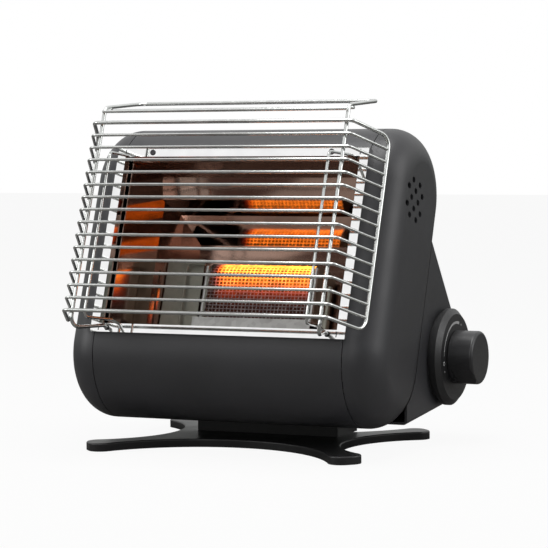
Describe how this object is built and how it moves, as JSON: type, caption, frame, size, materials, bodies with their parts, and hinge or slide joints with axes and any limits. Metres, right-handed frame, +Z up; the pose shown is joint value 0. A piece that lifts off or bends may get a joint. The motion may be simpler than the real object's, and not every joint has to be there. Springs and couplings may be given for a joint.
{
  "type": "portable gas heater",
  "caption": "Tabletop radiant gas heater: leaning drum-ended case, wire guard, mirror reflector, canister chamber with lid and side knob, on a cross-shaped stand.",
  "frame": {"origin": "on the surface that the heater stands on, below the middle of the stand", "axes": "+X to the right of someone facing the window, towards the knob; +Y to the back; +Z up"},
  "size_m": [0.2876, 0.2233, 0.2664],
  "materials": {
    "case_enamel": "charcoal enamel, satin",
    "stand_enamel": "black enamel, satin",
    "guard_chrome": "bright plated wire",
    "frame_chrome": "bright pressed steel",
    "reflector_mirror": "polished stainless sheet",
    "plated_steel": "zinc plated sheet",
    "burner_wire": "heat resistant steel mesh",
    "plaque_ceramic": "porous ceramic",
    "porcelain": "glazed porcelain",
    "screw_steel": "blackened screw",
    "valve_zinc": "die cast",
    "brass": "turned",
    "plate_aluminium": "rolled",
    "magnet_ferrite": "sintered",
    "knob_plastic": "moulded, fine texture",
    "igniter_plastic": "moulded",
    "black_rubber": "moulded",
    "lead_sleeve": "silicone sleeve"
  },
  "bodies": {
    "root": {"front_panel": "case_enamel", "top_panel": "case_enamel", "rear_panel": "case_enamel", "side_cover_left": "case_enamel", "side_cover_right": "case_enamel", "rear_housing": "case_enamel", "base_stand": "stand_enamel", "base_bracket": "stand_enamel", "guard_bars": "guard_chrome", "guard_rim": "guard_chrome", "guard_hoop": "guard_chrome", "guard_uprights": "guard_chrome", "roof_wires": "guard_chrome", "window_frame": "frame_chrome", "reflector": "reflector_mirror", "reflector_ends": "reflector_mirror", "burner_tray": "plated_steel", "burner_foot": "plated_steel", "burner_body": "plated_steel", "burner_ends": "plated_steel", "electrode_bracket": "plated_steel", "heat_shield": "plated_steel", "can_cradle": "plated_steel", "mixing_tube": "plated_steel", "flame_probe": "plated_steel", "electrode_pin": "plated_steel", "burner_rods": "plated_steel", "burner_mesh": "burner_wire", "burner_plaque": "plaque_ceramic", "electrode_insulator": "porcelain", "case_screws": "screw_steel", "frame_screws": "screw_steel", "base_screws": "screw_steel", "hinge_pins": "screw_steel", "gas_valve": "valve_zinc", "nozzle_holder": "valve_zinc", "nozzle": "brass", "gas_pipe": "brass", "heat_plate": "plate_aluminium", "can_magnet": "magnet_ferrite", "end_bezel": "knob_plastic", "igniter": "igniter_plastic", "foot_pads": "black_rubber", "grommets": "black_rubber", "spark_lead": "lead_sleeve", "probe_lead": "lead_sleeve"},
    "knob": {"control_knob": "knob_plastic", "valve_spindle": "screw_steel"},
    "lid": {"can_lid": "case_enamel"},
    "weight": {"tip_weight": "magnet_ferrite"}
  },
  "joints": [
    {"name": "knob_turn", "type": "hinge", "parent": "root", "child": "knob", "pos_m": [0.1478, 0.0674, 0.0664], "axis": [1, 0, 0], "range_deg": [0, 110]},
    {"name": "lid_open", "type": "hinge", "parent": "root", "child": "lid", "pos_m": [0, 0.08841, 0.09992], "axis": [1, 0, 0], "range_deg": [0, 95]},
    {"name": "tip_swing", "type": "hinge", "parent": "root", "child": "weight", "pos_m": [0.1205, 0.0674, 0.0664], "axis": [1, 0, 0], "range_deg": [-25, 25]}
  ]
}
